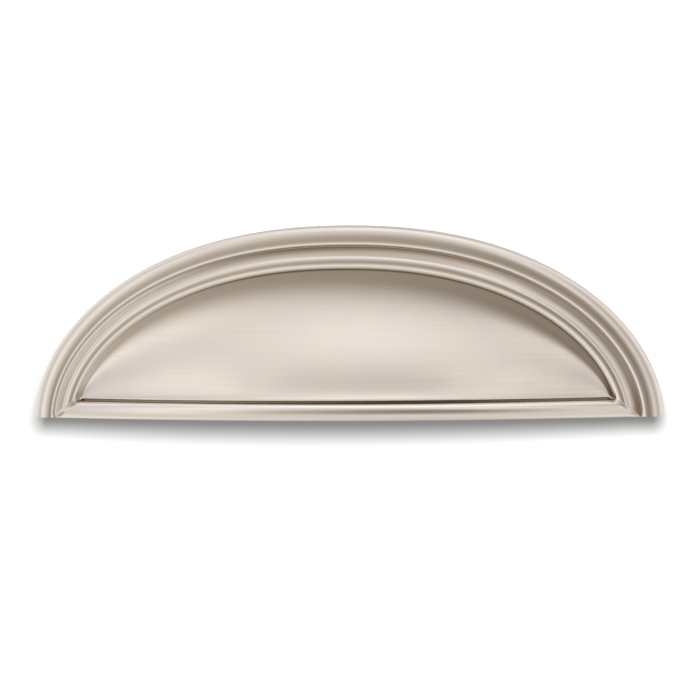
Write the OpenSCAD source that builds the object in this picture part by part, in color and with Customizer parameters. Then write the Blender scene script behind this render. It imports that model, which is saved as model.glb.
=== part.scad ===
// Cup pull for a drawer: a one-piece casting with a half-ellipse moulded backplate, a hollow ogee face
// that bows out to a half-round bead along its lip, and two tapped posts on the hidden side.
// Millimetres. The front faces -Y and +Z is up. The origin lies on the mounting plane, midway between
// the two fixing holes. Depths are measured forward from the mounting plane.

/* [Overall] */
// Width of the backplate across its two ends
pull_w = 133; // [110:1:160]
// Height of the backplate above the lip
pull_h = 40.3; // [37:0.1:52]
// Reach of the lip's bead in front of the mounting plane
projection = 21.5; // [19:0.5:28]
// Drop of the arch's springing line below the lip
spring_drop = 0.8; // [0.6:0.1:3]
// Fullness of the arch across its width, where 2 is an ellipse
arch_power_x = 2.2; // [2:0.01:2.4]
// Fullness of the arch up its height, where 2 is an ellipse
arch_power_z = 1.92; // [1.8:0.01:2.2]

/* [Outer band] */
// Width of the outer band, from the edge to the first groove
outer_band_w = 4.5; // [4.3:0.05:5.5]
// Height of the outer band's crest above the mounting plane
outer_band_d = 4.8; // [4.4:0.1:5.4]
// Straight part of the edge at the mounting plane
edge_d = 2.6; // [1.6:0.1:3]
// Distance of the crest from the edge
outer_crest_w = 2.95; // [2.8:0.05:3.6]
// Depth of the first groove's floor above the mounting plane
groove_d = 3.8; // [3.2:0.1:3.9]

/* [Inner band] */
// Width of the inner band, from the first groove to the second
inner_band_w = 4.75; // [4.2:0.05:5.5]
// Height of the inner band's crest above the mounting plane
inner_band_d = 8.3; // [7.6:0.1:9.2]
// Distance of the inner band's crest from the first groove
inner_crest_w = 3.3; // [2.8:0.05:3.6]
// Radius of the crest's outer round, above the cove
crest_r = 1.6; // [1.3:0.1:1.8]
// Depth of the recess inside the inner band
recess_d = 6.9; // [6.2:0.1:7.4]
// Width of the flat strip between the inner band and the face
strip_w = 1.4; // [1:0.1:2.5]

/* [Face] */
// Wall of the casting over the face
wall = 2.2; // [1.6:0.1:2.8]
// Fullness of the lip's bow in plan, where 0.5 is an ellipse and 1 a parabola
bow = 1; // [0.7:0.05:1.2]
// Share of the face's reach by which its lower edge flares out
lip_flare = 0.115; // [0:0.005:0.16]
// Width of the backplate's flat ring against the drawer
ring_w = 8; // [7:0.1:9]

/* [Lip] */
// Diameter of the half-round bead
bead_dia = 3.7; // [3.2:0.1:4.4]
// Width of the dark quirk between the face and the bead
quirk_w = 0.45; // [0.4:0.05:1]
// Depth of the quirk behind the face's lower edge
quirk_d = 1; // [0.6:0.05:1.2]
// Flat on the underside of the bead, taken off its round
bead_flat = 0.1; // [0.05:0.05:0.3]
// Length over which each end of the bead falls to the first groove
bead_end_w = 2.5; // [1.5:0.1:3.5]

/* [Fixing] */
// Distance between the two fixing holes
hole_centres = 76; // [60:1:84]
// Height of the fixing holes above the lip
hole_height = 12; // [10:0.5:14]
// Diameter of the posts
post_dia = 8; // [7:0.5:9]
// Diameter of the tapped holes, drawn at the tapping size
hole_dia = 3.3; // [3:0.1:4]
// Depth of the tapped holes
hole_depth = 6.5; // [5:0.5:7.5]

/* [Hidden] */

// Number of steps along the arch, down the face and the skirt below it, and round and along the bead's end
arch_steps = 64;
face_steps = 11;
skirt_steps = 3;
bead_sides = 16;
bead_end_steps = 5;
// Crowding of the face's steps towards the lip
face_crowd = 1.4;
// Sharpness of the lip's flare
flare_power = 14;
// Rounding of the face's lower edge, and where on its round the section has a point
edge_r = 0.4;
edge_turn = 50;
// Share of a short upright line near the corners that lies below the face
short_skirt = 0.25;
// Angle between the points of the outer band's round, and the steps of the cove, the crest's round and the
// bands' rounded inner noses
band_turn = 18;
cove_steps = 4;
crest_steps = 4;
nose_steps = 2;
// How far the crest's round and the noses turn, and the noses' share of the way from crest to groove
crest_turn = 75;
nose_turn = 48;
nose_share = 0.78;
// Ends of the arch below the lip
leg = spring_drop / 2;
overlap = 0.3;
seam = 0.05;
satin_nickel = [0.8, 0.76, 0.71];

half_w = pull_w / 2;
arch_h = pull_h + spring_drop;
arch_half_w = half_w / pow(1 - pow(spring_drop / arch_h, arch_power_z), 1 / arch_power_x);
arch_start = asin(pow((spring_drop - leg) / arch_h, arch_power_z / 2));
inner_end_w = outer_band_w + inner_band_w;
face_w = inner_end_w + strip_w;
bead_r = bead_dia / 2;
bead_z = bead_r - bead_flat;
bead_top = bead_z + bead_r;
face_low = bead_top + quirk_w + edge_r;
bead_mid_d = projection - bead_r;
bead_corner_d = inner_band_d - bead_r;
face_mid_d = bead_mid_d + quirk_d / 2;

// Smooth step from 0 to 1 and its slope
function ease(u) = u * u * (3 - 2 * u);
function ease_slope(u) = 6 * u * (1 - u);
function clamp01(u) = min(1, max(0, u));

// Outline of the backplate, an arch like a full half-ellipse, by the angle from its right end, and the
// outline offset inward by a distance w
function arch_point(a) =
    [sign(cos(a)) * arch_half_w * pow(abs(cos(a)), 2 / arch_power_x),
     arch_h * pow(sin(a), 2 / arch_power_z) - spring_drop];
function arch_outward(a) =
    let (n = [
        sign(cos(a)) * pow(abs(cos(a)), 2 - 2 / arch_power_x) * arch_power_x / arch_half_w,
        pow(sin(a), 2 - 2 / arch_power_z) * arch_power_z / arch_h])
    n / norm(n);
function arch_offset(a, w) = arch_point(a) - w * arch_outward(a);

// Where the offset outline crosses a height or an upright line on the right-hand half, by bisection
function crossing(w, axis, value, low = arch_start, high = 90, left = 24) =
    let (
        mid = (low + high) / 2,
        beyond = axis == 0 ? arch_offset(mid, w)[0] < value : arch_offset(mid, w)[1] > value)
    left == 0 ? mid :
    beyond ? crossing(w, axis, value, low, mid, left - 1) : crossing(w, axis, value, mid, high, left - 1);
function arch_x(w, z) = arch_offset(crossing(w, 1, z), w)[0];
function arch_z(w, x) = arch_offset(crossing(w, 0, x), w)[1];

face_half_w = arch_x(face_w, 0);
floor_z = arch_offset(arch_start, face_w)[1] - 1;

// Half the moulding's section: [distance from the edge, depth], from the back edge to the face
function nose(crest_w, crest_d, end_w) =
    let (r = nose_share * (end_w - crest_w) / sin(nose_turn))
    [for (k = [1:nose_steps])
        let (q = nose_turn * k / nose_steps)
        [crest_w + r * sin(q), crest_d - r * (1 - cos(q))]];
function outer_band() = concat(
    [[0, 0]],
    [for (q = [0:band_turn:90]) [outer_crest_w * (1 - cos(q)), edge_d + (outer_band_d - edge_d) * sin(q)]],
    nose(outer_crest_w, outer_band_d, outer_band_w));
function inner_band() =
    let (
        crest_w = outer_band_w + inner_crest_w,
        cove_w = inner_crest_w - crest_r * sin(crest_turn),
        cove_d = inner_band_d - crest_r * (1 - cos(crest_turn)) - groove_d,
        cove_power = tan(crest_turn) * cove_w / cove_d)
    concat(
        [for (k = [0:cove_steps])
            let (u = k / cove_steps)
            [outer_band_w + cove_w * u, groove_d + cove_d * pow(u, cove_power)]],
        [for (k = [1:crest_steps])
            let (q = crest_turn * (1 - k / crest_steps))
            [crest_w - crest_r * sin(q), inner_band_d - crest_r * (1 - cos(q))]],
        nose(crest_w, inner_band_d, inner_end_w),
        [[inner_end_w, recess_d]]);
moulding = concat(outer_band(), inner_band());
moulding_points = len(moulding);

// Bow of the lip in plan: 1 at the middle, 0 at the corners
function lip_bow(x) = pow(max(0, 1 - pow(x / face_half_w, 2)), bow);
function face_rise(x) = (face_mid_d - recess_d) * lip_bow(x);

// Ogee of the face from the recess at 0 to the lip at 1: an S curve that flares out at its lower edge
function ogee(u) = (1 - lip_flare) * ease(u) + lip_flare * pow(u, flare_power);

// Face in each upright plane, and the skin behind it, which is set back by the wall and has no flare
function face_place(z, top) = top > face_low ? clamp01((top - z) / (top - face_low)) : 1;
function face_depth(x, z, top) = recess_d + face_rise(x) * ogee(face_place(z, top));
function back_rise(x) = face_rise(x) * (1 - lip_flare);
function back_slope(x, z, top) =
    top > face_low ? back_rise(x) * ease_slope(face_place(z, top)) / (top - face_low) : 0;
function back_depth(x, z, top) =
    recess_d + back_rise(x) * ease(face_place(z, top)) - wall * norm([1, back_slope(x, z, top)]);

// Heights down one upright line of the face, from the arch to its rounded lower edge
function face_heights(top) =
    let (low = min(face_low, top + (floor_z - top) * short_skirt))
    [for (k = [0:face_steps]) low + (top - low) * pow(1 - k / face_steps, face_crowd)];

// One section of the shell: its front points from the edge to below the lip, then their partners behind
function shell_front(x, top, at) =
    let (
        heights = face_heights(top),
        low = heights[face_steps],
        lip = face_depth(x, low, top),
        room = edge_r * (low - floor_z) / (face_low - floor_z))
    concat(
        [for (m = moulding) at(m[0], m[1])],
        [for (z = heights) [x, -face_depth(x, z, top), z]],
        [[x, -(lip - edge_r * (1 - cos(edge_turn))), low - room * sin(edge_turn)],
         [x, -(lip - quirk_d), low - room],
         [x, -(lip - quirk_d), floor_z]]);
function shell_back(x, top, at) =
    let (
        heights = face_heights(top),
        low = heights[face_steps],
        drop = min(wall / 2, (top - floor_z) / 2),
        squeeze = 1 - drop / (top - floor_z),
        skirt = [for (k = [1:skirt_steps]) low + (floor_z - low) * k / skirt_steps])
    concat(
        [for (k = [1:moulding_points]) at(ring_w * k / moulding_points, 0)],
        [for (front_z = concat(heights, skirt))
            let (z = floor_z + (front_z - floor_z) * squeeze)
            [x, -back_depth(x, z, top), z]]);

// Section of the shell across the arch at one angle
function section(a) =
    let (
        here = arch_offset(a, face_w),
        at = function (w, d) let (p = arch_offset(a, w)) [p[0], -d, p[1]])
    concat(shell_front(here[0], here[1], at), reverse(shell_back(here[0], here[1], at)));
function reverse(list) = [for (k = [len(list) - 1:-1:0]) list[k]];

// Closed skin through rings of equal length, with its two end rings closed as ribbons
module skin_through(rings) {
    n = len(rings[0]);
    last = len(rings) - 1;
    points = [for (ring = rings, p = ring) p];
    sides = [for (i = [0:last - 1], k = [0:n - 1])
        let (next = (k + 1) % n, a = i * n + k, b = i * n + next, c = a + n, d = b + n)
        each [[a, b, d], [a, d, c]]];
    ends = [for (k = [0:n / 2 - 2])
        let (a = k, b = k + 1, c = n - 1 - k, d = n - 2 - k, far = last * n)
        each [[a, c, b], [b, c, d], [far + a, far + b, far + c], [far + b, far + d, far + c]]];
    polyhedron(points, concat(sides, ends), convexity = 8);
}

// Backplate, moulded bands and hollow face in one skin
module shell() {
    skin_through([for (i = [0:arch_steps])
        section(arch_start + (180 - 2 * arch_start) * i / arch_steps)]);
}

// Bead along the lip: a round carried along the bow, falling to the first groove past the corners
function bead_fall(x) = (inner_band_d - groove_d) * ease(clamp01((abs(x) - mitre_out) / bead_end_w + 1));
function bead_depth(x) = bead_corner_d + (bead_mid_d - bead_corner_d) * lip_bow(x) - bead_fall(x);
module bead() {
    bow_places = [for (i = [arch_steps:-1:0]) face_half_w * cos(180 * i / arch_steps)];
    end_places = [for (k = [0:bead_end_steps])
        mitre_out + overlap - bead_end_w * (1 - k / bead_end_steps)];
    skin_through([for (x = concat(-reverse(end_places), bow_places, end_places))
        [for (k = [0:bead_sides - 1])
            let (q = 360 * (k + 0.5) / bead_sides)
            [x, -(bead_depth(x) + bead_r * cos(q)), bead_z + bead_r * sin(q)]]]);
}

// Mitre between the inner band and the bead: the outline of the corner under the mitre line, seen from
// the front
mitre_in = arch_x(inner_end_w, bead_top);
mitre_out = arch_x(outer_band_w, 0);
module mitre_corner() {
    polygon([[mitre_out, 0], [mitre_in, bead_top], [mitre_in, -projection], [mitre_out, -projection]]);
}
module beyond_mitre() {
    polygon([
        [mitre_out + seam, -projection], [mitre_out + seam, 0], [mitre_in + seam, bead_top],
        [mitre_in + seam, pull_h], [pull_w, pull_h], [pull_w, -projection]]);
}

// Extrudes an outline seen from the front, between two depths
module from_front(near, far) {
    translate([0, -near, 0]) rotate([90, 0, 0]) linear_extrude(far - near) children();
}

module both_sides() {
    children();
    mirror([1, 0, 0]) children();
}

// Plane of the face over a post: the face's slopes there, and its turn away from upright
post_x = hole_centres / 2;
function face_at(x, z) = face_depth(x, z, arch_z(face_w, x));
probe = post_dia / 4;
slope_x = (face_at(post_x + probe, hole_height) - face_at(post_x - probe, hole_height)) / (2 * probe);
slope_z = (face_at(post_x, hole_height + probe) - face_at(post_x, hole_height - probe)) / (2 * probe);
post_normal = [-slope_x, -1, -slope_z] / norm([slope_x, 1, slope_z]);

// Tapped post, its end cut parallel to the face half-way into the wall
module post() {
    size = 4 * post_dia;
    middle = [post_x, -face_at(post_x, hole_height), hole_height] - post_normal * wall / 2;
    difference() {
        translate([post_x, 0, hole_height]) rotate([90, 0, 0]) cylinder(d = post_dia, h = projection);
        translate(middle)
            rotate([0, acos(post_normal[2]), atan2(post_normal[1], post_normal[0])])
                translate([-size / 2, -size / 2, 0]) cube(size);
    }
}

module hole() {
    translate([post_x, overlap, hole_height])
        rotate([90, 0, 0]) cylinder(d = hole_dia, h = hole_depth + overlap, $fn = 48);
}

module under_lip() {
    translate([-pull_w, -2 * projection, -projection]) cube([2 * pull_w, 3 * projection, projection]);
}

module cup_pull() {
    color(satin_nickel)
    translate([0, 0, -hole_height])
    difference() {
        union() {
            difference() {
                shell();
                both_sides() from_front(bead_corner_d - overlap, projection) mitre_corner();
                under_lip();
            }
            difference() {
                bead();
                both_sides() from_front(-overlap, 2 * projection) beyond_mitre();
                under_lip();
            }
            both_sides() post();
        }
        both_sides() hole();
    }
}

cup_pull();
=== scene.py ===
import math

import bmesh
import bpy
import numpy as np
from mathutils import Matrix, Vector


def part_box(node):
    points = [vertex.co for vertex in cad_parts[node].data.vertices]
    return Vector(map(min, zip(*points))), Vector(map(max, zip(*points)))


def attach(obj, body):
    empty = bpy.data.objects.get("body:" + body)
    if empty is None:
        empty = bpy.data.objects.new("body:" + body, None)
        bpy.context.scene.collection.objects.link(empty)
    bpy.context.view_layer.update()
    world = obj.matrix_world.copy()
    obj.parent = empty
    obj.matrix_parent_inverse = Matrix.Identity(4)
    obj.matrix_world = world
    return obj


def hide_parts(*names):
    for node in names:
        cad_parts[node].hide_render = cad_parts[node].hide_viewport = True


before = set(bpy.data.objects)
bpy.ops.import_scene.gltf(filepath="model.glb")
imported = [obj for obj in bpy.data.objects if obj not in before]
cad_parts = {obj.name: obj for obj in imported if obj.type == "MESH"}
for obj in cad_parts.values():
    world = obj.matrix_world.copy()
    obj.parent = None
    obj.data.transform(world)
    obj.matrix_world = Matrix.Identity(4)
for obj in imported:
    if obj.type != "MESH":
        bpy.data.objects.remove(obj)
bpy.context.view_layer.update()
mm = 0.001
pi = math.pi
print("frame loaded")

# Casting: millimetres, depths forward from the mounting plane, heights above the lip plane
boxLow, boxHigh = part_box("cup_pull")
archTrim = 0.3  # arch drawn this much below the node's top, to meet the photo's outline
casting = {
    "halfWidth": (boxHigh.x - boxLow.x) / 2 / mm,
    "height": (boxHigh.z - boxLow.z) / mm - archTrim,
    "projection": -boxLow.y / mm,
    "lipPlane": boxLow.z / mm,  # where the lip plane lies in the frame
    "springDrop": 0.8,  # arch's springing line below the lip
    "powerAcross": 2.2,  # fullness of the arch across and up, 2 is an ellipse
    "powerUp": 1.92,
    "alongSteps": 300,  # grid steps along the arch and the lip
    "crowding": 0.85,  # how far the steps crowd towards the corners
    "leastAngle": 0.001,  # where the search for a height begins
    "halvings": 48,
    "footRound": 1.0,  # rounding of the backplate's lower corners
    "wall": 2.2,
    "weld": 2e-6,  # metres within which the grids' edges join
    "sharpFrom": 30,  # degrees between faces
}
outerBand = {
    "width": 4.5,
    "crest": 3.25,  # from the edge to the crest
    "height": 5.4,
    "edge": 3.1,  # straight part of the edge
    "arris": 0.3,  # rounding of the back edge
    "noseRadius": 1.45,
    "noseTurn": 48,  # degrees
    "arrisSteps": 5,
    "domeSteps": 21,
    "noseSteps": 9,
}
innerBand = {
    "start": 4.9,  # depth of the first groove
    "width": 4.6,
    "crest": 3.25,
    "height": 7.2,
    "roundRadius": 1.7,  # outer round of the crest, above a cove
    "roundTurn": 52,
    "noseRadius": 1.52,
    "noseTurn": 48,
    "steps": 60,
}
panel = {
    "recess": 6.5,  # depth of the strip inside the inner band
    "strip": 1.4,
    "stripLift": 0.12,  # rise of the strip towards the face at both ends of the arch
    "stripNarrowing": 0.5,  # share of its width that the strip loses there
    "cornerShare": 0.6,  # height of the lower edge where a column is short
    "bow": 1.0,  # power of the lip's bow in plan, 1 is a plain parabola
    "flare": 0.115,  # share of the reach that the lower edge flares out by
    "flarePower": 14,
    "arris": 0.4,
    "stripRows": 4,
    "rows": 48,
    "arrisRows": 4,
}
bead = {
    "radius": 1.8,
    "flat": 0.1,  # cut off its round by the lip plane
    "cornerRun": 1.6,  # length over which the bead grows out of the inner band
    "mitreGroove": 0.35,
    "mitreWidth": 0.35,
    "mitreRunout": 4,  # power by which the mitre's groove runs out at both its ends
    "quirk": 0.45,  # groove between the bead and the panel
    "quirkDepth": 1.0,
}

archRise = casting["height"] + casting["springDrop"]
powerAcross = casting["powerAcross"]
powerUp = casting["powerUp"]
archHalf = casting["halfWidth"] / (1 - (casting["springDrop"] / archRise) ** powerUp) ** (1 / powerAcross)
evenly = np.linspace(0, 1, casting["alongSteps"] + 1)
along = evenly - casting["crowding"] * np.sin(2 * pi * evenly) / (2 * pi)
bandEnd = outerBand["width"] + innerBand["width"]
beadUp = bead["radius"] - bead["flat"]  # height of the bead's centre
beadTop = beadUp + bead["radius"]
beadReach = casting["projection"] - bead["radius"]
beadCorner = innerBand["height"] - bead["radius"]
panelReach = beadReach + bead["quirkDepth"] / 2
panelLow = beadTop + bead["quirk"] + panel["arris"]


# Smooth step from 0 to 1, and its slope
def ease(u):
    return u * u * (3 - 2 * u)


def easeSlope(u):
    return 6 * u * (1 - u)


# Value held between 0 and 1
def ramp(u):
    return np.clip(u, 0, 1)


# Bell: e to minus the distance over the width, raised to a power
def bell(distance, width, power=2):
    return np.exp(-(distance / width) ** power)


# Arch in the front view by angle from its right end: a superellipse with its own power across and up,
# moved inwards along its normal
def archOffset(angle, inward):
    c = np.cos(angle)
    s = np.sin(angle)
    x = np.sign(c) * archHalf * np.abs(c) ** (2 / powerAcross)
    z = archRise * s ** (2 / powerUp) - casting["springDrop"]
    nx = np.sign(c) * np.abs(c) ** (2 - 2 / powerAcross) * powerAcross / archHalf
    nz = s ** (2 - 2 / powerUp) * powerUp / archRise
    size = np.hypot(nx, nz)
    return x - inward * nx / size, z - inward * nz / size


# Angle at which each offset arch stands at a given height, by halving
def angleAtHeight(inward, height):
    inward, height = np.broadcast_arrays(np.asarray(inward, float), np.asarray(height, float))
    low = np.full(inward.shape, casting["leastAngle"])
    high = np.full(inward.shape, pi / 2)
    for halving in range(casting["halvings"]):
        middle = (low + high) / 2
        below = archOffset(middle, inward)[1] < height
        low = np.where(below, middle, low)
        high = np.where(below, high, middle)
    return middle


# Angles along each offset arch, from the given height on the right to the same height on the left
def archAngles(inward, height):
    start = angleAtHeight(inward, height)[:, None]
    return start + (pi - 2 * start) * along[None, :]


# Points in the frame's axes: x across, depth forward as minus y, height above the lip plane
def toPoints(x, depth, height):
    x, depth, height = np.broadcast_arrays(x, depth, height)
    return np.stack([x, -depth, height + casting["lipPlane"]], -1)


# Band carried along the arch: profile points (distance from the edge, depth) at every arch angle
def carriedBand(inward, depth, height):
    x, z = archOffset(archAngles(inward, height), inward[:, None])
    return toPoints(x, depth[:, None], z)


# Height at which the backplate's lower corner begins, by distance from the edge: a quarter round
def footHeight(inward):
    t = 1 - ramp(inward / casting["footRound"])
    return casting["footRound"] * (1 - np.sqrt(1 - t * t))


# Groove along the mitre: a bell by the distance from it
def mitreFall(distance):
    return bead["mitreGroove"] * bell(distance, bead["mitreWidth"])


# Outer band: small back arris, straight edge, quarter-ellipse round, nose turned down to the groove
def outerProfile():
    back = np.linspace(0, pi / 2, outerBand["arrisSteps"])
    dome = np.linspace(0, pi / 2, outerBand["domeSteps"])
    nose = np.linspace(0, math.radians(outerBand["noseTurn"]), outerBand["noseSteps"])[1:]
    rise = outerBand["height"] - outerBand["edge"]
    inward = [
        outerBand["arris"] * (1 - np.sin(back)),
        outerBand["crest"] * (1 - np.cos(dome)),
        outerBand["crest"] + outerBand["noseRadius"] * np.sin(nose),
        [outerBand["width"]],
    ]
    depth = [
        outerBand["arris"] * (1 - np.cos(back)),
        outerBand["edge"] + rise * np.sin(dome),
        outerBand["height"] - outerBand["noseRadius"] * (1 - np.cos(nose)),
        [innerBand["start"]],
    ]
    return np.concatenate(inward), np.concatenate(depth)


# Inner band's depth by its distance from the edge: a cove that steepens into a round up to the crest, a
# round nose, then a short slope into the second groove
def innerDepth(inward):
    crest = outerBand["width"] + innerBand["crest"]
    turns = [math.radians(innerBand["roundTurn"]), math.radians(innerBand["noseTurn"])]
    radii = [innerBand["roundRadius"], innerBand["noseRadius"]]
    runs = [radius * math.sin(turn) for radius, turn in zip(radii, turns)]
    ends = [innerBand["height"] - radius * (1 - math.cos(turn)) for radius, turn in zip(radii, turns)]
    rounds = [
        innerBand["height"] - radius + np.sqrt(radius ** 2 - np.clip(inward - crest, -run, run) ** 2)
        for radius, run in zip(radii, runs)]
    coveRun = innerBand["crest"] - runs[0]
    coveRise = ends[0] - innerBand["start"]
    steepness = math.tan(turns[0]) * coveRun / coveRise
    cove = innerBand["start"] + coveRise * ramp((inward - outerBand["width"]) / coveRun) ** steepness
    noseEnd = crest + runs[1]
    fall = ends[1] + (panel["recess"] - ends[1]) * (inward - noseEnd) / (bandEnd - noseEnd)
    rise = np.where(inward < crest - runs[0], cove, rounds[0])
    return np.where(inward > noseEnd, fall, np.where(inward > crest, rounds[1], rise))


# Rings of the D-shaped frame: each has a place round the bead, a height on it and a distance from the edge
ringTurn = np.linspace(math.acos(beadUp / bead["radius"]), pi, innerBand["steps"])
ringHeight = beadUp - bead["radius"] * np.cos(ringTurn)
ringInward = outerBand["width"] + innerBand["width"] * ringHeight / beadTop
ringDepth = innerDepth(ringInward)
mitreX = archOffset(angleAtHeight(ringInward, ringHeight), ringInward)[0]
mitreFade = 1 - (2 * ringHeight[:, None] / beadTop - 1) ** bead["mitreRunout"]

# Columns of the panel: from the inner band across the strip, then straight down to the lip
columnAngle = archAngles(ringInward[-1:], ringHeight[-1:])[0]
columnTop = archOffset(columnAngle, bandEnd)[1]
columnSide = (archOffset(columnAngle, 0)[0] - archOffset(columnAngle, 1)[0]) ** 2
stripRoom = ramp((columnTop - beadTop) / panel["strip"])
stripWidth = panel["strip"] * (1 - panel["stripNarrowing"] * columnSide) * stripRoom
panelX, panelTop = archOffset(columnAngle, bandEnd + stripWidth)
panelTop = np.maximum(panelTop, beadTop)
panelEdge = np.minimum(panelLow, beadTop + panel["cornerShare"] * (panelTop - beadTop))
panelHalf = archOffset(angleAtHeight(bandEnd + panel["strip"], 0.0), bandEnd + panel["strip"])[0]
stripLift = panel["stripLift"] * columnSide


# Bow of the lip in plan: a parabola from 1 at the middle to 0 at the corners, raised to a power
def lipBow(x):
    return np.maximum(0, 1 - (x / panelHalf) ** 2) ** panel["bow"]


# Ogee of the panel from the strip at 0 to the lip at 1: a smooth S with a flare at the end
def ogee(u):
    return (1 - panel["flare"]) * ease(u) + panel["flare"] * u ** panel["flarePower"]


# Panel's depth: the strip's level, plus the reach of the lip times its bow across and the ogee down
def panelDepth(x, u):
    return panel["recess"] + stripLift * (1 - u) + (panelReach - panel["recess"]) * lipBow(x) * ogee(u)


# Bead's bow: a parabola that reaches the inner band's level half-way along the mitre
def beadDepth(x):
    half = (mitreX[0] + mitreX[-1]) / 2
    return beadCorner + (beadReach - beadCorner) * (1 - (x / half) ** 2)


# Inner band: the rings' profile along the arch, with the mitre's groove at both ends
def innerPatch():
    x, z = archOffset(archAngles(ringInward, ringHeight), ringInward[:, None])
    return toPoints(x, ringDepth[:, None] - mitreFall(z - ringHeight[:, None]) * mitreFade, z)


# Bead along the lip: the ring's height on a circle, growing out of the inner band at both mitres
def beadPatch():
    x = panelX[None, :] * (mitreX / mitreX[-1])[:, None]
    fromMitre = mitreX[:, None] - np.abs(x)
    grown = ease(ramp(fromMitre / bead["cornerRun"]))
    full = beadDepth(x) + bead["radius"] * np.sin(ringTurn)[:, None]
    depth = ringDepth[:, None] + (full - ringDepth[:, None]) * grown - mitreFall(fromMitre) * mitreFade
    return toPoints(x, depth, ringHeight[:, None])


# Panel columns: the strip, the ogee face, the rounded lower edge and the quirk down to the bead
def panelPatch(beadRow):
    strip = np.linspace(0, 1, panel["stripRows"])[:, None]
    stripX, stripZ = archOffset(columnAngle[None, :], bandEnd + stripWidth[None, :] * strip)
    stripZ = np.maximum(stripZ, beadTop)
    u = np.linspace(0, 1, panel["rows"] + 1)[1:, None]
    faceZ = panelTop + (panelEdge - panelTop) * u
    faceDepth = panelDepth(panelX, u)
    lip = faceDepth[-1]
    room = (panelEdge - beadTop) / (panelLow - beadTop)
    turn = np.linspace(0, pi / 2, panel["arrisRows"] + 1)[1:, None]
    arrisZ = panelEdge - panel["arris"] * room * np.sin(turn)
    arrisDepth = lip - panel["arris"] * room * (1 - np.cos(turn))
    floor = lip - bead["quirkDepth"] * room
    rows = [
        toPoints(stripX, panel["recess"] + stripLift * strip, stripZ),
        toPoints(panelX, faceDepth, faceZ),
        toPoints(panelX, arrisDepth, arrisZ),
        toPoints(panelX, floor, arrisZ[-1:]),
        toPoints(panelX, floor, beadTop)[None],
        beadRow[None],
    ]
    return np.concatenate(rows)


# Hidden side: a flat ring and the hollow inside it
cavity = {
    "ring": 8.0,  # flat ring against the drawer
    "shoulder": 11.6,  # where the cavity's roof begins, from the edge
    "openRise": 4.0,  # height over which it opens at both ends
    "settle": 0.25,  # share of a column over which the roof meets the inner skin
    "leastSpan": 0.001,  # keeps the skin's slope finite at the corners
    "ringRows": 5,
    "shoulderRows": 9,
    "rows": 26,
    "undersideRows": 4,
}


# Inner skin of the cavity: the face set back by the wall along its slope
def skinDepth(x, height):
    order = np.argsort(panelX)
    top = np.interp(x, panelX[order], panelTop[order])
    edge = np.interp(x, panelX[order], panelEdge[order])
    span = np.maximum(top - edge, cavity["leastSpan"])
    u = ramp((top - height) / span)
    reach = (panelReach - panel["recess"]) * lipBow(x) * (1 - panel["flare"])
    slope = reach * easeSlope(u) / span
    return panel["recess"] + reach * ease(u) - casting["wall"] * np.sqrt(1 + ramp(slope) ** 2)


# Cavity: from the ring's inner edge over a rounded shoulder, then the inner skin down to the lip plane
def cavityPatch():
    angle = archAngles(np.array([cavity["ring"]]), np.array([0.0]))[0]
    ringUp = archOffset(angle, cavity["ring"])[1]
    opened = ease(ramp(ringUp / cavity["openRise"]))
    roof = (panel["recess"] - casting["wall"]) * opened
    inner = cavity["ring"] + (cavity["shoulder"] - cavity["ring"]) * opened
    t = np.linspace(0, 1, cavity["shoulderRows"])[:, None]
    across = cavity["ring"] + (inner - cavity["ring"]) * t ** 2
    shoulderX, shoulderZ = archOffset(angle, across)
    shoulderZ = np.maximum(shoulderZ, 0)
    shoulderDepth = roof * (1 - (1 - t) ** 2)
    x = shoulderX[-1]
    down = np.linspace(0, 1, cavity["rows"] + 1)[1:, None]
    z = shoulderZ[-1] * (1 - down)
    settle = ease(ramp(down / cavity["settle"]))
    depth = roof + (skinDepth(x, z) * opened - roof) * settle
    return np.concatenate([toPoints(shoulderX, shoulderDepth, shoulderZ), toPoints(x, depth, z)])


# Ring against the drawer: a flat band at depth 0
def backRing():
    inward = np.linspace(outerBand["arris"], cavity["ring"], cavity["ringRows"])
    return carriedBand(inward, np.zeros_like(inward), footHeight(inward))


# Underside in the lip plane: a ribbon between the front outline and the cavity's edge
def undersidePatch(outer, beadRow, skinRow, ring):
    spread = np.linspace(0, 1, outer.shape[0])[:, None]
    rightBack = ring[0, 0] + (ring[-1, 0] - ring[0, 0]) * spread
    leftBack = ring[-1, -1] + (ring[0, -1] - ring[-1, -1]) * spread
    front = np.concatenate([outer[:, 0], beadRow[1:-1], outer[::-1, -1]])
    back = np.concatenate([rightBack, skinRow[1:-1], leftBack])
    across = np.linspace(0, 1, cavity["undersideRows"])[:, None, None]
    return front + (back - front) * across


# Posts for the fixing screws, drawn with their M4 thread
posts = {
    "radius": 4.0,
    "spacing": 38.0,
    "up": 12.0,
    "fillet": 1.0,
    "arris": 0.3,
    "holeRadius": 1.65,
    "holeDepth": 6.5,
    "mouth": 0.25,  # countersink
    "sunk": 0.4,  # share of the wall that the foot reaches into it
    "threadHeight": 0.3,
    "threadFrom": 0.5,
    "threadEnd": 0.9,  # left plain above the bore's tip
    "threadRows": 73,
    "runoutEnd": 1.6,
    "runout": 0.8,
    "flank": (1.4, 0.2),  # steepness and cut of the thread's wave
    "pitch": 0.7,
    "arrisRows": 4,
    "filletRows": 8,
    "around": 48,
}


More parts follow.
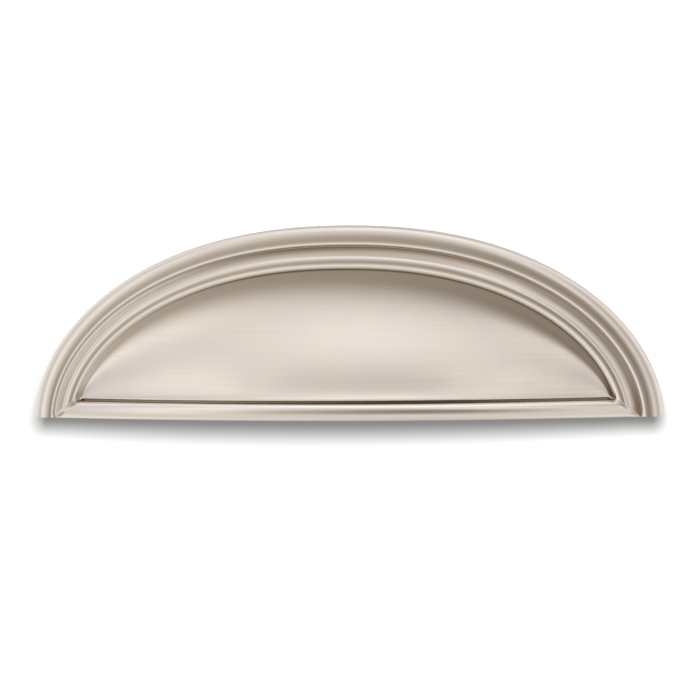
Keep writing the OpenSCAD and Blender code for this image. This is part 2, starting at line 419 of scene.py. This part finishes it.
# Tapped post: one profile turned round its axis, from the bore's tip, up the thread, over the post's
# end face, along its outside to a fillet that follows the inner skin
def postPatch(side):
    turn = np.linspace(0, 2 * pi, posts["around"] + 1)[None, :]
    threadTop = posts["holeDepth"] - posts["threadEnd"]
    threadRows = np.linspace(threadTop, posts["threadFrom"], posts["threadRows"])[:, None]
    wave = np.abs((threadRows / posts["pitch"] - turn / (2 * pi)) % 1 - 0.5) * 2
    fade = ramp((posts["holeDepth"] - posts["runoutEnd"] - threadRows) / posts["runout"])
    steepness, cut = posts["flank"]
    threadRadius = posts["holeRadius"] + posts["threadHeight"] * ramp(wave * steepness - cut) * fade
    mouth = posts["holeRadius"] + posts["threadHeight"] + posts["mouth"]
    boreRadius = np.concatenate([np.zeros_like(turn), threadRadius, mouth + 0 * turn])
    boreDepth = np.concatenate([posts["holeDepth"] + 0 * turn, threadRows + 0 * turn, 0 * turn])
    arris = np.linspace(0, pi / 2, posts["arrisRows"])[:, None]
    endRadius = posts["radius"] - posts["arris"] * (1 - np.sin(arris)) + 0 * turn
    endDepth = posts["arris"] * (1 - np.cos(arris)) + 0 * turn
    x = side * posts["spacing"]
    bend = np.linspace(0, pi / 2, posts["filletRows"])[:, None]
    filletRadius = posts["radius"] + posts["fillet"] * (1 - np.cos(bend)) + 0 * turn
    filletX = x + filletRadius * np.cos(turn)
    filletZ = posts["up"] + filletRadius * np.sin(turn)
    filletDepth = skinDepth(filletX, filletZ) - posts["fillet"] * (1 - np.sin(bend))
    sunkRadius = (posts["radius"] + posts["fillet"]) * np.array([1.0, 0.0])[:, None] + 0 * turn
    sunkX = x + sunkRadius * np.cos(turn)
    sunkZ = posts["up"] + sunkRadius * np.sin(turn)
    sunkDepth = skinDepth(sunkX, sunkZ) + casting["wall"] * posts["sunk"]
    radius = np.concatenate([boreRadius, endRadius, filletRadius, sunkRadius])
    depth = np.concatenate([boreDepth, endDepth, filletDepth, sunkDepth])
    return toPoints(x + radius * np.cos(turn), depth, posts["up"] + radius * np.sin(turn))


# Quads of a grid, by the numbers of its points
def gridFaces(rows, cols):
    index = np.arange(rows * cols).reshape(rows, cols)
    corners = [index[:-1, :-1], index[1:, :-1], index[1:, 1:], index[:-1, 1:]]
    return np.stack(corners, -1).reshape(-1, 4)


# Lengths along and across a grid: its steps summed along each row and each column
def gridLengths(patch):
    u = np.zeros(patch.shape[:2])
    v = np.zeros(patch.shape[:2])
    u[:, 1:] = np.cumsum(np.linalg.norm(np.diff(patch, axis=1), axis=2), 1)
    v[1:] = np.cumsum(np.linalg.norm(np.diff(patch, axis=0), axis=2), 0)
    return np.stack([u, v], -1)


# One closed piece from grids that share their edges. Each comes with how dull it is, its patina and painted
# light, and whether it is brushed level and not along the grid
def pieceFromPatches(name, patches):
    points, quads, lengths, dulled, browned = [], [], [], [], []
    start = 0
    for patch, dullness, patinaAndPaintedLight, level in patches:
        rows, cols = patch.shape[:2]
        points.append(patch.reshape(-1, 3) * mm)
        quads.append(gridFaces(rows, cols) + start)
        brushed = patch[..., ::2] if level else gridLengths(patch)
        lengths.append(brushed.reshape(-1, 2) * mm)
        dulled.append(np.full(rows * cols, float(dullness)))
        browned.append(np.broadcast_to(patinaAndPaintedLight, (rows, cols)).ravel())
        start += rows * cols
    corners = np.concatenate(quads)
    mesh = bpy.data.meshes.new(name)
    mesh.from_pydata(np.concatenate(points).tolist(), [], corners.tolist())
    brush = mesh.uv_layers.new(name="brush")
    brush.data.foreach_set("uv", np.concatenate(lengths)[corners.ravel()].ravel())
    for label, values in (("hiddenSide", dulled), ("patinaAndPaintedLight", browned)):
        mask = mesh.attributes.new(label, "FLOAT", "CORNER")
        mask.data.foreach_set("value", np.concatenate(values)[corners.ravel()])
    shell = bmesh.new()
    shell.from_mesh(mesh)
    bmesh.ops.remove_doubles(shell, verts=shell.verts, dist=casting["weld"])
    bmesh.ops.recalc_face_normals(shell, faces=shell.faces)
    shell.to_mesh(mesh)
    shell.free()
    mesh.shade_smooth()
    mesh.set_sharp_from_angle(angle=math.radians(casting["sharpFrom"]))
    piece = bpy.data.objects.new(name, mesh)
    bpy.context.scene.collection.objects.link(piece)
    return piece


# Wear, patina and painted light: widths and reaches in millimetres, strengths from 0 to 1. The brown stands
# for patina and painted shade, the wear for wear and painted highlights
wearPatinaAndPaintedLight = {
    "grooveWidth": 0.22,
    "flankWidth": 1.5,  # painted shade on the inner band's flank, and how abruptly it ends
    "flankPower": 3,
    # wear with a painted highlight on each nose
    "wornHighlightWidth": 0.4,
    "noseShare": 0.6,  # place of the wear between a band's crest and its end
    "paintedShadeWidth": 1.2,  # painted shade beside the first groove near both ends of the arch
    "outerPaintedShade": 0.5,
    "outerReach": 5.0,
    "innerPaintedShade": 0.6,
    "innerReach": 6.0,
    "leftBrown": 0.08,  # share of brown and painted shade kept at the left end
    "fadeFrom": -58,
    "fadeTo": -8,
    "rightBrown": 0.65,
    "topShade": 0.34,  # soft shade down the panel, over so many of its rows
    "topRows": 9,
    "rightShade": 0.14,
    "rightRows": 26,
    "rightRun": 38.0,  # from the middle to where that shade is full
    # painted shade in the pocket at both lower corners
    "pocketShade": 0.8,
    "pocketRows": 25,
    "pocketHeight": 3.2,
    "lowerEdge": (-0.8, -0.27, 0.27, 0.8, 1.0, 1.0, 0.3),  # panel's worn arris with a painted highlight, then brown patina and painted shade in its quirk
    "beadBrown": 0.3,
    # painted highlight along the top of the bead
    "beadPaintedHighlight": 0.7,
    "beadHighlightAt": 0.87,  # share of the bead's height
    "beadHighlightWidth": 0.8,
    "underside": 0.3,  # dullness between the front and the hidden side
}


# Patina and painted light across a band: a bell of brown, patina with painted shade, over a groove, and a
# bell of wear with a painted highlight, counted as negative, over a nose
def inGroove(distance):
    return bell(distance, wearPatinaAndPaintedLight["grooveWidth"])[:, None]


def onNose(distance, width):
    return -bell(distance, width)[:, None]


# Place of a nose's wear and painted highlight, a share of the way from the band's crest to its end
def noseInward(band):
    return band["crest"] + wearPatinaAndPaintedLight["noseShare"] * (band["width"] - band["crest"])


# Painted shade beside the first groove near both ends of the arch, by height above the lip
def paintedShadeNearEnds(patch, inward, reach):
    beside = bell(inward - outerBand["width"], wearPatinaAndPaintedLight["paintedShadeWidth"])[:, None]
    return beside * bell(patch[..., 2] - casting["lipPlane"], reach)


# Painted light: brown and painted shade nearly fade out towards the left end of the arch, which is left
# lighter, and a little towards the right, by place across
def fadedEnds(x):
    kept = wearPatinaAndPaintedLight["leftBrown"]
    left = kept + (1 - kept) * ease(ramp((x - wearPatinaAndPaintedLight["fadeFrom"]) / (wearPatinaAndPaintedLight["fadeTo"] - wearPatinaAndPaintedLight["fadeFrom"])))
    return left * (1 - (1 - wearPatinaAndPaintedLight["rightBrown"]) * ramp(x / archHalf))


# Patina and painted light down the panel: brown strip, patina with painted shade, a painted shade below it
# that is stronger on the right, a worn lower edge with a painted highlight, brown and painted shade in the
# quirk and painted shade in the pocket at both corners
def panelPatinaAndLight():
    strip = inGroove(np.linspace(0, panel["strip"], panel["stripRows"]))
    lower = np.array(wearPatinaAndPaintedLight["lowerEdge"])[:, None]
    plain = np.zeros((panel["rows"], 1))
    row = np.arange(strip.size + plain.size + lower.size)[:, None]
    # Painted shade below the strip, stronger towards the right, and in the pocket at both corners
    top = wearPatinaAndPaintedLight["topShade"] * bell(row, wearPatinaAndPaintedLight["topRows"])
    right = wearPatinaAndPaintedLight["rightShade"] * bell(row, wearPatinaAndPaintedLight["rightRows"]) * ramp(panelX / wearPatinaAndPaintedLight["rightRun"])
    pocketShade = wearPatinaAndPaintedLight["pocketShade"] * bell(row, wearPatinaAndPaintedLight["pocketRows"]) * bell(columnTop - beadTop, wearPatinaAndPaintedLight["pocketHeight"])
    brown = np.concatenate([strip, plain, 0 * lower]) + top + right
    return brown * fadedEnds(panelX) + pocketShade + np.concatenate([0 * strip, plain, lower])


outerInward, outerDepth = outerProfile()
outer = carriedBand(outerInward, outerDepth, footHeight(outerInward))
inner = innerPatch()
lipBead = beadPatch()
face = panelPatch(lipBead[-1])
hollow = cavityPatch()
ring = backRing()
under = undersidePatch(outer, lipBead[0], hollow[-1], ring)
# Brown in the grooves, patina with painted shade, and painted shade near the ends of the arch
outerPaintedShade = wearPatinaAndPaintedLight["outerPaintedShade"] * paintedShadeNearEnds(outer, outerInward, wearPatinaAndPaintedLight["outerReach"])
outerBrown = inGroove(outerInward - outerBand["width"]) + outerPaintedShade
innerGroove = inGroove(ringInward - bandEnd)
# Painted shade on the inner band's flank next to the first groove
innerFlank = bell(ringInward - outerBand["width"], wearPatinaAndPaintedLight["flankWidth"], wearPatinaAndPaintedLight["flankPower"])[:, None]
innerPaintedShade = wearPatinaAndPaintedLight["innerPaintedShade"] * paintedShadeNearEnds(inner, ringInward, wearPatinaAndPaintedLight["innerReach"])
innerBrown = innerGroove + innerFlank + innerPaintedShade
# Wear with painted highlights along the noses, and a painted highlight along the bead's top
outerWornHighlight = onNose(outerInward - noseInward(outerBand), wearPatinaAndPaintedLight["wornHighlightWidth"])
innerWornHighlight = onNose(ringInward - outerBand["width"] - noseInward(innerBand), wearPatinaAndPaintedLight["wornHighlightWidth"])
beadPaintedHighlight = wearPatinaAndPaintedLight["beadPaintedHighlight"] * onNose(ringHeight - wearPatinaAndPaintedLight["beadHighlightAt"] * beadTop, wearPatinaAndPaintedLight["beadHighlightWidth"])
pullPiece = pieceFromPatches("cup_pull_casting", [
    (outer, 0, outerBrown * fadedEnds(outer[..., 0]) + outerWornHighlight, False),
    (inner, 0, innerBrown * fadedEnds(inner[..., 0]) + innerWornHighlight, False),
    (lipBead, 0, wearPatinaAndPaintedLight["beadBrown"] * innerGroove + beadPaintedHighlight, False),
    (face, 0, panelPatinaAndLight(), True),
    (hollow, 1, 0, False),
    (ring, 1, 0, False),
    (under, wearPatinaAndPaintedLight["underside"], 0, False),
    (postPatch(1), 1, 0, False),
    (postPatch(-1), 1, 0, False),
])
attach(pullPiece, "root")
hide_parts("cup_pull")
print("casting made", len(pullPiece.data.polygons), "faces")


# Shader values: a wrapped socket whose arithmetic adds Math nodes
class Shade:
    def __init__(self, tree, socket=None):
        self.tree = tree
        self.socket = socket

    # Any node: its type, its settings, which are set first, then the values or links of its sockets
    def node(self, kind, settings=None, sockets=None, out=0):
        made = self.tree.nodes.new(kind)
        for name, value in (settings or {}).items():
            setattr(made, name, value)
        for name, value in (sockets or {}).items():
            if isinstance(value, Shade):
                self.tree.links.new(value.socket, made.inputs[name])
            else:
                made.inputs[name].default_value = value
        return Shade(self.tree, made.outputs[out])

    def calc(self, operation, first, second=0.0):
        return self.node("ShaderNodeMath", {"operation": operation}, {0: first, 1: second})

    def __add__(self, other):
        return self.calc("ADD", self, other)

    def __radd__(self, other):
        return self.calc("ADD", other, self)

    def __sub__(self, other):
        return self.calc("SUBTRACT", self, other)

    def __rsub__(self, other):
        return self.calc("SUBTRACT", other, self)

    def __mul__(self, other):
        return self.calc("MULTIPLY", self, other)

    def __rmul__(self, other):
        return self.calc("MULTIPLY", other, self)

    # Smooth step of the value between two levels
    def between(self, low, high):
        settings = {"interpolation_type": "SMOOTHSTEP"}
        return self.node("ShaderNodeMapRange", settings, {"Value": self, "From Min": low, "From Max": high})

    # Two colours mixed by this value, through the Mix node's colour sockets
    def mix(self, first, second):
        settings = {"data_type": "RGBA", "clamp_factor": True}
        return self.node("ShaderNodeMix", settings, {0: self, 6: first, 7: second}, out=2)


# Opaque colour
def rgba(r, g, b):
    return (r, g, b, 1.0)


white = rgba(1, 1, 1)

# Satin nickel: brushed along each moulding, a little uneven in tint, brown in the grooves as patina and
# painted shade, worn noses with painted highlights, and duller on the hidden side. Lengths are in metres
nickel = {
    "color": rgba(0.84, 0.775, 0.69),
    "tint": rgba(0.825, 0.755, 0.70),
    "streak": rgba(0.74, 0.675, 0.60),
    # wear with a painted highlight on the noses, the bead's top and the panel's lower arris
    "wornAndHighlight": rgba(0.97, 0.93, 0.88),
    # brown for patina and painted shade in the grooves and recesses
    "groove": rgba(0.28, 0.21, 0.145),
    "cast": rgba(0.50, 0.465, 0.425),
    "roughness": 0.25,
    "castRoughness": 0.5,
    "streakRoughness": 0.10,
    "mottleRoughness": 0.06,
    "noiseMiddle": 0.5,
    "mottleRange": (0.35, 0.7),
    "mottleScale": 160.0,
    "mottleDetail": 2.0,
    "grainScale": 2500.0,
    "grainDetail": 2.0,
    "grainBump": 2.0,  # grain of the hidden side against the streaks
    "streakRange": (0.35, 0.75),
    "streakShare": 0.25,
    "streakDetail": 3.0,
    "streakLength": 0.03,
    "streakWidth": 0.00028,
    "streakBump": 0.06,
    "bumpDepth": 0.0002,
}


# Colour goes from nickel to its tint by the mottle, then to the streaks, the worn noses with their painted
# highlights, the brown of patina and painted shade and the cast hidden side. Roughness and bump follow the
# same noises
def satinNickel():
    material = bpy.data.materials.new("satin_nickel")
    material.use_nodes = True
    tree = material.node_tree
    surface = tree.nodes["Principled BSDF"]
    make = Shade(tree)
    where = make.node("ShaderNodeTexCoord", out="Object")
    brush = make.node("ShaderNodeUVMap", {"uv_map": "brush"})
    hidden = make.node("ShaderNodeAttribute", {"attribute_name": "hiddenSide"}, out="Fac")
    patinaAndPaintedLight = make.node("ShaderNodeAttribute", {"attribute_name": "patinaAndPaintedLight"}, out="Fac")
    scale = (1 / nickel["streakLength"], 1 / nickel["streakWidth"], 1.0)
    stretched = make.node("ShaderNodeMapping", None, {"Vector": brush, "Scale": scale})
    streaks = make.node("ShaderNodeTexNoise", None, {
        "Vector": stretched, "Scale": 1.0, "Detail": nickel["streakDetail"]})
    mottle = make.node("ShaderNodeTexNoise", None, {
        "Vector": where, "Scale": nickel["mottleScale"], "Detail": nickel["mottleDetail"]})
    grain = make.node("ShaderNodeTexNoise", None, {
        "Vector": where, "Scale": nickel["grainScale"], "Detail": nickel["grainDetail"]})
    tinted = mottle.between(*nickel["mottleRange"]).mix(nickel["color"], nickel["tint"])
    streaked = streaks.between(*nickel["streakRange"]) * nickel["streakShare"]
    # Negative values give wear with painted highlights, positive ones brown patina with painted shade
    wornAndHighlight = (0 - patinaAndPaintedLight).mix(streaked.mix(tinted, nickel["streak"]), nickel["wornAndHighlight"])
    colored = hidden.mix(patinaAndPaintedLight.mix(wornAndHighlight, nickel["groove"]), nickel["cast"])
    middle = nickel["noiseMiddle"]
    uneven = (streaks - middle) * nickel["streakRoughness"] + (mottle - middle) * nickel["mottleRoughness"]
    rough = nickel["roughness"] + uneven + hidden * (nickel["castRoughness"] - nickel["roughness"])
    heights = streaks * (1 - hidden) + grain * hidden * nickel["grainBump"]
    bump = make.node("ShaderNodeBump", None, {
        "Strength": nickel["streakBump"], "Distance": nickel["bumpDepth"], "Height": heights})
    surface.inputs["Metallic"].default_value = 1.0
    tree.links.new(colored.socket, surface.inputs["Base Color"])
    tree.links.new(rough.socket, surface.inputs["Roughness"])
    tree.links.new(bump.socket, surface.inputs["Normal"])
    return material


pullPiece.data.materials.append(satinNickel())
print("satin nickel applied")


# Wall behind the pull, in metres: keeps its shadow, plain white further out, open when seen from behind
stage = {
    "halfSize": 3.0,
    "gap": 0.05,  # behind the mounting plane
    "wall": rgba(0.10, 0.10, 0.10),
    "glow": 0.20,  # even light of the wall itself
    "reflected": rgba(0.68, 0.67, 0.66),
    "reflectedSides": rgba(0.95, 0.94, 0.93),
    "sidesRange": (0.06, 0.1),  # from the middle
    "plainRange": (0.11, 0.15),
}


# Lit wall near the pull for the camera, plain white further out, grey with paler sides in reflections
def wallMaterial():
    material = bpy.data.materials.new("white_wall")
    material.use_nodes = True
    tree = material.node_tree
    tree.nodes.remove(tree.nodes["Principled BSDF"])
    make = Shade(tree)
    where = make.node("ShaderNodeTexCoord", out="Object")
    distance = make.node("ShaderNodeVectorMath", {"operation": "LENGTH"}, {0: where}, out="Value")
    across = make.calc("ABSOLUTE", make.node("ShaderNodeSeparateXYZ", None, {"Vector": where}))
    direct = make.node("ShaderNodeLightPath", out="Is Camera Ray")
    glossy = make.node("ShaderNodeLightPath", out="Is Glossy Ray")
    through = make.node("ShaderNodeLightPath", out="Is Transmission Ray")
    mirrored = make.calc("MAXIMUM", glossy, through)
    far = direct * distance.between(*stage["plainRange"])
    reflected = across.between(*stage["sidesRange"]).mix(stage["reflected"], stage["reflectedSides"])
    lit = make.node("ShaderNodeBsdfDiffuse", None, {"Color": stage["wall"]})
    glow = make.node("ShaderNodeEmission", None, {"Color": white, "Strength": stage["glow"]})
    lit = make.node("ShaderNodeAddShader", None, {0: lit, 1: glow})
    plain = make.node("ShaderNodeEmission", None, {"Color": mirrored.mix(white, reflected)})
    seen = make.node("ShaderNodeMixShader", None, {0: make.calc("MAXIMUM", far, mirrored), 1: lit, 2: plain})
    behind = make.node("ShaderNodeNewGeometry", out="Backfacing")
    clear = make.node("ShaderNodeBsdfTransparent")
    whole = make.node("ShaderNodeMixShader", None, {0: behind, 1: seen, 2: clear})
    tree.links.new(whole.socket, tree.nodes["Material Output"].inputs["Surface"])
    return material


# Square wall, level with the object's axes, a gap behind the mounting plane
def makeWall():
    reach = np.array([[-1, -1], [1, -1], [1, 1], [-1, 1]]) * stage["halfSize"]
    corners = np.column_stack([reach[:, 0], np.full(4, stage["gap"]), reach[:, 1]])
    mesh = bpy.data.meshes.new("wall")
    mesh.from_pydata(corners.tolist(), [], [[0, 1, 2, 3]])
    wall = bpy.data.objects.new("wall", mesh)
    bpy.context.scene.collection.objects.link(wall)
    wall.data.materials.append(wallMaterial())


# Light tent: a warm dark front around the camera, white panels beside it, grey further round, white above.
# A pair gives the degrees round, or up for a rise, over which one shade passes into the next
tent = {
    "frontLeft": rgba(0.56, 0.51, 0.45),
    "frontRight": rgba(0.235, 0.197, 0.165),
    "frontTurn": (-26, 12),
    "upperFront": rgba(0.73, 0.715, 0.70),
    "upperFrontRise": (12, 56),
    "leftPanel": rgba(1.07, 1.06, 1.045),
    "rightPanel": rgba(0.89, 0.87, 0.85),
    "panelTurn": (0, 30),
    "upperRight": rgba(1.0, 0.965, 0.93),
    "upperRightTurn": (4, 18),
    "upperRightRise": (24, 40),
    "leftSide": rgba(0.67, 0.65, 0.69),
    "leftSideTurn": (48, 70),  # counted leftwards
    "rightSide": rgba(0.55, 0.52, 0.505),
    "rightSideTurn": (44, 64),
    "rightSideShift": 12,  # how far it comes forward higher up
    "rightSideRise": (20, 38),
    "back": rgba(1.0, 0.99, 0.98),
    "backTurn": (72, 104),
    "above": rgba(1.26, 1.255, 1.25),
    "aboveRise": (42, 90),
    "aboveSides": rgba(0.66, 0.66, 0.66),
    "aboveSidesRise": (42, 66),
    "aboveLeft": (0.35, 0.65),  # sideways part of a direction, not degrees
    "aboveRight": (0.2, 0.55),
    "below": rgba(0.80, 0.785, 0.76),
    "belowRise": (0, -45),
    "leftEdgeTurn": (-48, -16),
    "drawnIn": 2,  # how far the front's left edge draws in half-way up
    "drawnInRise": (0, 22),
    "drawnInFall": (28, 50),
    "softEdgeTurn": (14, 46),  # front's right edge, which turns crisp higher up
    "crispEdgeTurn": (19, 27),
    "crispEdgeRise": (18, 30),
    "crispShift": 10,
    "crispShiftRise": (25, 45),
}


# Directions are in degrees: azimuth from straight ahead, rightwards positive, and elevation
def lightTent():
    world = bpy.data.worlds.new("light_tent")
    bpy.context.scene.world = world
    world.use_nodes = True
    tree = world.node_tree
    background = tree.nodes["Background"]
    make = Shade(tree)
    direction = make.node("ShaderNodeTexCoord", out="Generated")
    right, ahead, up = [
        make.node("ShaderNodeVectorMath", {"operation": "DOT_PRODUCT"}, {0: direction, 1: axis}, out="Value")
        for axis in ((1, 0, 0), (0, -1, 0), (0, 0, 1))]
    azimuth = make.calc("ARCTAN2", right, ahead) * math.degrees(1)
    elevation = make.calc("ARCSINE", up) * math.degrees(1)
    turned = make.calc("ABSOLUTE", azimuth)
    front = azimuth.between(*tent["frontTurn"]).mix(tent["frontLeft"], tent["frontRight"])
    front = elevation.between(*tent["upperFrontRise"]).mix(front, tent["upperFront"])
    panels = azimuth.between(*tent["panelTurn"]).mix(tent["leftPanel"], tent["rightPanel"])
    upperRight = azimuth.between(*tent["upperRightTurn"]) * elevation.between(*tent["upperRightRise"])
    panels = upperRight.mix(panels, tent["upperRight"])
    panels = (0 - azimuth).between(*tent["leftSideTurn"]).mix(panels, tent["leftSide"])
    forward = azimuth + elevation.between(*tent["rightSideRise"]) * tent["rightSideShift"]
    panels = forward.between(*tent["rightSideTurn"]).mix(panels, tent["rightSide"])
    beside = turned.between(*tent["backTurn"]).mix(panels, tent["back"])
    beside = elevation.between(*tent["aboveSidesRise"]).mix(beside, tent["aboveSides"])
    drawnIn = elevation.between(*tent["drawnInRise"]) * (1 - elevation.between(*tent["drawnInFall"]))
    leftEdge = (azimuth - drawnIn * tent["drawnIn"]).between(*tent["leftEdgeTurn"])
    softEdge = azimuth.between(*tent["softEdgeTurn"])
    crispTurn = azimuth + elevation.between(*tent["crispShiftRise"]) * tent["crispShift"]
    crispEdge = crispTurn.between(*tent["crispEdgeTurn"])
    rightEdge = softEdge + (crispEdge - softEdge) * elevation.between(*tent["crispEdgeRise"])
    around = (leftEdge * (1 - rightEdge)).mix(beside, front)
    leftwards = (0 - right).between(*tent["aboveLeft"])
    sideways = make.calc("MAXIMUM", leftwards, right.between(*tent["aboveRight"]))
    above = sideways.mix(tent["above"], tent["aboveSides"])
    upper = elevation.between(*tent["aboveRise"]).mix(around, above)
    soft = elevation.between(*tent["belowRise"]).mix(upper, tent["below"])
    shown = make.node("ShaderNodeLightPath", out="Is Camera Ray").mix(soft, white)
    tree.links.new(shown.socket, background.inputs["Color"])
    background.inputs["Strength"].default_value = 1.0


# Direction out from the object, by degrees to the right of straight ahead and degrees up
def outward(azimuth, elevation):
    turned = math.radians(azimuth)
    raised = math.radians(elevation)
    level = math.cos(raised)
    return Vector((math.sin(turned) * level, -math.cos(turned) * level, math.sin(raised)))


# Soft lamp in front and above, which throws the shadow on the wall
wallLamp = {
    "distance": 0.6,
    "azimuth": 9.27,
    "elevation": 4.75,
    "size": 0.056,
    "power": 38.0,
}


def makeLamp():
    lamp = bpy.data.lights.new("wall_soft_light", "AREA")
    lamp.shape = "DISK"
    lamp.size = wallLamp["size"]
    lamp.energy = wallLamp["power"]
    holder = bpy.data.objects.new("wall_soft_light", lamp)
    holder.location = outward(wallLamp["azimuth"], wallLamp["elevation"]) * wallLamp["distance"]
    holder.rotation_euler = (-holder.location).to_track_quat("-Z", "Y").to_euler()
    holder.visible_glossy = False
    bpy.context.scene.collection.objects.link(holder)


# Camera: nearly level, a little to the right, with the slight roll of the photograph
camera = {
    "target": (0.0, -0.008, 0.006),
    "distance": 0.6,
    "azimuth": 9.27,
    "elevation": 1.17,
    "roll": 0.543,
    "imageWidth": 700,
    "focalPixels": 2892.0,
    "targetPixel": (340.0, 331.0),
    "sensor": 36.0,
    "clip": (0.01, 20.0),
}


# Level axis to the right and the axis up, for a view from the given direction
def viewAxes(back):
    right = Vector((0, 0, 1)).cross(back).normalized()
    return right, back.cross(right)


# The camera stands off from its target and aims beside it, so that the target lands on its pixel
def makeCamera():
    back = outward(camera["azimuth"], camera["elevation"])
    place = Vector(camera["target"]) + back * camera["distance"]
    right, up = viewAxes(back)
    middle = camera["imageWidth"] / 2
    across = (middle - camera["targetPixel"][0]) / camera["focalPixels"] * camera["distance"]
    down = (camera["targetPixel"][1] - middle) / camera["focalPixels"] * camera["distance"]
    aim = Vector(camera["target"]) + right * across + up * down
    back = (place - aim).normalized()
    right, up = viewAxes(back)
    roll = math.radians(camera["roll"])
    right, up = right * math.cos(roll) - up * math.sin(roll), right * math.sin(roll) + up * math.cos(roll)
    data = bpy.data.cameras.new("camera")
    data.sensor_width = camera["sensor"]
    data.lens = camera["focalPixels"] * camera["sensor"] / camera["imageWidth"]
    data.clip_start, data.clip_end = camera["clip"]
    holder = bpy.data.objects.new("camera", data)
    holder.matrix_world = Matrix.Translation(place) @ Matrix((right, up, back)).transposed().to_4x4()
    bpy.context.scene.collection.objects.link(holder)
    bpy.context.scene.camera = holder


makeWall()
lightTent()
makeLamp()
makeCamera()
bpy.context.scene.view_settings.view_transform = "Standard"
print("stage, light and camera set")
